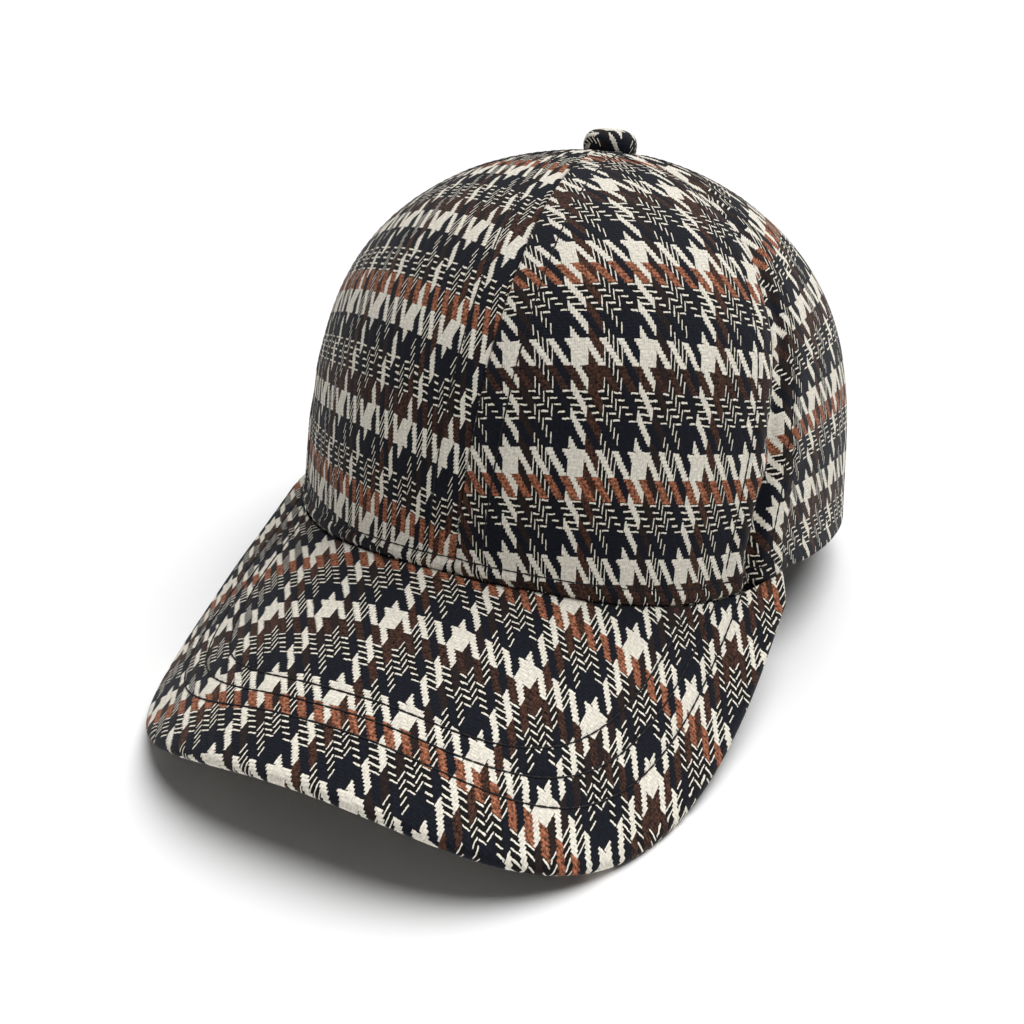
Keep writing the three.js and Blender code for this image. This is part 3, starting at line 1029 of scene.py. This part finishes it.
def stitch_tree():
    """A row of short stitches along each line of a piece."""
    tree = bpy.data.node_groups.new("stitch_row", "GeometryNodeTree")
    face = tree.interface
    face.new_socket("Geometry", in_out="INPUT", socket_type="NodeSocketGeometry")
    sockets = {
        name: face.new_socket(name, in_out="INPUT", socket_type="NodeSocket" + kind).identifier
        for name, kind in STITCH_SOCKETS.items()
    }
    face.new_socket("Geometry", in_out="OUTPUT", socket_type="NodeSocketGeometry")
    new = tree.nodes.new
    inlet = new("NodeGroupInput")
    outlet = new("NodeGroupOutput")
    curve = new("GeometryNodeMeshToCurve")
    points = new("GeometryNodeCurveToPoints")
    points.mode = "LENGTH"
    bead = new("GeometryNodeMeshUVSphere")
    set_inputs(bead, {"Segments": 6, "Rings": 4, "Radius": 0.5})
    size = new("ShaderNodeCombineXYZ")
    stretch = new("GeometryNodeTransform")
    uneven = new("FunctionNodeRandomValue")
    uneven.data_type = "FLOAT_VECTOR"
    set_inputs(uneven, {0: (0.85, 0.85, 0.88), 1: (1.1, 1.1, 1.0)})
    scatter = new("GeometryNodeInstanceOnPoints")
    real = new("GeometryNodeRealizeInstances")
    smooth = new("GeometryNodeSetShadeSmooth")
    finish = new("GeometryNodeSetMaterial")
    for source, outgoing, target, incoming in (
        (inlet, "Geometry", curve, "Mesh"), (curve, "Curve", points, "Curve"),
        (inlet, "pitch", points, "Length"), (inlet, "diameter", size, 0),
        (inlet, "diameter", size, 1), (inlet, "length", size, 2),
        (bead, "Mesh", stretch, "Geometry"), (size, 0, stretch, "Scale"),
        (inlet, "seed", uneven, "Seed"), (points, "Points", scatter, "Points"),
        (points, "Rotation", scatter, "Rotation"), (stretch, "Geometry", scatter, "Instance"),
        (uneven, 0, scatter, "Scale"), (scatter, "Instances", real, "Geometry"),
        (real, "Geometry", smooth, "Geometry"), (smooth, "Geometry", finish, "Geometry"),
        (inlet, "thread", finish, "Material"), (finish, "Geometry", outlet, "Geometry"),
    ):
        tree.links.new(source.outputs[outgoing], target.inputs[incoming])
    return tree, sockets


def stitched(name, lines, stitching, material, tree, sockets):
    """Sew along lines of placed points, and return the stitches as one plain mesh."""
    points = []
    edges = []
    for line in lines:
        first = len(points)
        points.extend(line.tolist())
        edges.extend((first + i, first + i + 1) for i in range(len(line) - 1))
    mesh = bpy.data.meshes.new(name + "_path")
    mesh.from_pydata(points, edges, [])
    path = add_object(name + "_path", mesh)
    rule = path.modifiers.new("Stitches", "NODES")
    rule.node_group = tree
    for setting in ("pitch", "length", "diameter", "seed"):
        rule[sockets[setting]] = getattr(stitching, setting)
    rule[sockets["thread"]] = material
    bpy.context.view_layer.update()
    graph = bpy.context.evaluated_depsgraph_get()
    made = bpy.data.meshes.new_from_object(path.evaluated_get(graph))
    made.name = name
    path.modifiers.remove(rule)
    bpy.data.objects.remove(path)
    bpy.data.meshes.remove(mesh)
    if len(made.polygons) == 0:
        raise RuntimeError(name + " has no stitches")
    return add_object(name, made)


def brim_stitch_lines():
    lines = []
    for row in STITCH_ROWS:
        plan = squared_curve(row["half_width"], row["reach"], STITCH_ROW_SQUARENESS)
        x, y = plan.T
        crown = np.hypot(*rim_point(np.arctan2(x, -y)))
        x, y = plan[np.hypot(x, y) > crown + ROW_CLEARANCE].T
        top = np.stack([x, y, sheet_height(x, y)], -1)
        lift = (STITCH_LIFT - brim_relief(x, y))[:, None]
        lines.append(place(top + lift * sheet_normal(x, y)))
    return lines


def sewn_on_crown(angle, climb, shape):
    """Places of stitches just above the crown's cloth."""
    return place(crown_surface(angle, climb, shape, 0.5 * STITCH_LIFT))


def hem_stitch_line(shape):
    angle = BRIM_TIP_ANGLE * np.linspace(-0.97, 0.97, 400)
    return sewn_on_crown(angle, climb_above_edge(angle, HEM_STITCH_RISE), shape)


def seam_stitch_lines(shape):
    lines = []
    for name, seam in SEAMS.items():
        if name == "back_again":
            continue
        for side in (-1, 1):
            foot = np.radians(seam["angle"])
            rise = BRIM_SEAM_RISE if abs(foot) < BRIM_TIP_ANGLE else RIM_SEAM_RISE
            climb = np.linspace(float(climb_above_edge(foot, rise)), SEAM_STITCH_TOP, 500)
            middle = seam_angle(seam, climb)
            angle = middle + side * SEAM_STITCH_OFFSET / crown_radius(middle, climb)
            lines.append(sewn_on_crown(angle, climb, shape))
    return lines


# Operators

def settings_of(context):
    return context.scene.woven_cap


class CAP_OT_panels(bpy.types.Operator):
    """Build the crown's six cloth panels"""

    bl_idname = "woven_cap.panels"
    bl_label = "Crown Panels"

    def execute(self, context):
        settings = settings_of(context)
        material = woven_cloth("check_cloth", settings.cloth)
        for name, seams in PANELS.items():
            piece = panel_piece(name, seams, settings.shape, material)
            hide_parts("panel_" + name)
            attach(piece, "root")
        return {"FINISHED"}


class CAP_OT_brim(bpy.types.Operator):
    """Build the curved brim, covered in the same cloth"""

    bl_idname = "woven_cap.brim"
    bl_label = "Brim"

    def execute(self, context):
        piece = brim_piece(woven_cloth("brim_cloth", settings_of(context).cloth))
        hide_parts("brim")
        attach(piece, "root")
        return {"FINISHED"}


class CAP_OT_button(bpy.types.Operator):
    """Build the covered button on the crown's top"""

    bl_idname = "woven_cap.button"
    bl_label = "Button"

    def execute(self, context):
        settings = settings_of(context)
        piece = button_piece(settings.shape, woven_cloth("button_cloth", settings.cloth))
        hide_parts("button")
        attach(piece, "root")
        return {"FINISHED"}


class CAP_OT_stitches(bpy.types.Operator):
    """Sew the rows on the brim, along the hem and beside the seams"""

    bl_idname = "woven_cap.stitches"
    bl_label = "Stitching"

    def execute(self, context):
        settings = settings_of(context)
        thread = sewing_thread(settings.stitching)
        tree, sockets = stitch_tree()
        rows = {
            "stitches_brim": brim_stitch_lines(),
            "stitches_hem": [hem_stitch_line(settings.shape)],
            "stitches_seams": seam_stitch_lines(settings.shape),
        }
        for name, lines in rows.items():
            piece = stitched(name, lines, settings.stitching, thread, tree, sockets)
            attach(piece, "root")
        return {"FINISHED"}


CAMERA_PLACE = Vector((0.1190, -0.2825, 0.1871))
CAMERA_AZIMUTH = np.radians(24.47)
CAMERA_ELEVATION = np.radians(27.97)
CAMERA_ROLL = np.radians(0.46)

KEY_FROM = Vector((0.14, 0.34, 1.0))
KEY_SPREAD = np.radians(50)
FILL_FROM = Vector((0.9, -1.0, 0.0))
FILL_SPREAD = np.radians(24)
FLOOR_REACH = 6.0


def soft_light(name, comes_from, strength, spread):
    data = bpy.data.lights.new(name, "SUN")
    data.energy = strength
    data.angle = spread
    light = add_object(name, data)
    light.rotation_euler = comes_from.to_track_quat("Z", "Y").to_euler()


class CAP_OT_stage(bpy.types.Operator):
    """Build the pale floor, the soft lights and the camera"""

    bl_idname = "woven_cap.stage"
    bl_label = "Stage"

    def execute(self, context):
        studio = settings_of(context).studio
        square = ((-1, -1, 0), (1, -1, 0), (1, 1, 0), (-1, 1, 0))
        corners = FLOOR_REACH * np.array(square)
        paper = paper_floor(studio.floor)
        floor = mesh_piece("floor", corners, [[0, 1, 2, 3]], corners[:, :2], paper)
        world = bpy.data.worlds.new("studio")
        world.use_nodes = True
        background = world.node_tree.nodes["Background"]
        set_inputs(background, {"Color": (1.0, 1.0, 1.0, 1.0), "Strength": studio.sky})
        context.scene.world = world
        soft_light("key_light", KEY_FROM, studio.key_strength, KEY_SPREAD)
        soft_light("fill_light", FILL_FROM, studio.fill_strength, FILL_SPREAD)
        context.scene.view_settings.view_transform = "Standard"
        data = bpy.data.cameras.new("camera")
        data.lens = studio.lens
        data.sensor_width = 36.0
        data.sensor_fit = "HORIZONTAL"
        data.clip_start = 0.01
        data.clip_end = 50.0
        camera = add_object("camera", data)
        turn = Matrix.Rotation(CAMERA_AZIMUTH, 3, "Z")
        turn = turn @ Matrix.Rotation(np.pi / 2 - CAMERA_ELEVATION, 3, "X")
        turn = turn @ Matrix.Rotation(CAMERA_ROLL, 3, "Z")
        camera.matrix_world = Matrix.Translation(CAMERA_PLACE) @ turn.to_4x4()
        context.scene.camera = camera
        return {"FINISHED"}


class CAP_PT_sidebar(bpy.types.Panel):
    """The cap's settings and the steps that build it"""

    bl_label = "Woven Cap"
    bl_idname = "CAP_PT_sidebar"
    bl_space_type = "VIEW_3D"
    bl_region_type = "UI"
    bl_category = "Cap"

    def draw(self, context):
        settings = settings_of(context)
        for group in (settings.shape, settings.cloth, settings.stitching, settings.studio):
            box = self.layout.box()
            for name in group.__annotations__:
                box.prop(group, name)
        for step in STEPS:
            self.layout.operator(step.bl_idname)


STEPS = (CAP_OT_stage, CAP_OT_panels, CAP_OT_brim, CAP_OT_button, CAP_OT_stitches)
GROUPS = (CapClothSettings, CapShapeSettings, CapStitchSettings, CapStudioSettings, CapSettings)


def register():
    for item in (*GROUPS, *STEPS, CAP_PT_sidebar):
        bpy.utils.register_class(item)
    bpy.types.Scene.woven_cap = PointerProperty(type=CapSettings)


def unregister():
    del bpy.types.Scene.woven_cap
    for item in reversed((*GROUPS, *STEPS, CAP_PT_sidebar)):
        bpy.utils.unregister_class(item)


def main():
    register()
    bpy.ops.woven_cap.stage()
    bpy.ops.woven_cap.panels()
    bpy.ops.woven_cap.brim()
    bpy.ops.woven_cap.button()
    bpy.ops.woven_cap.stitches()


if __name__ == "__main__":
    main()
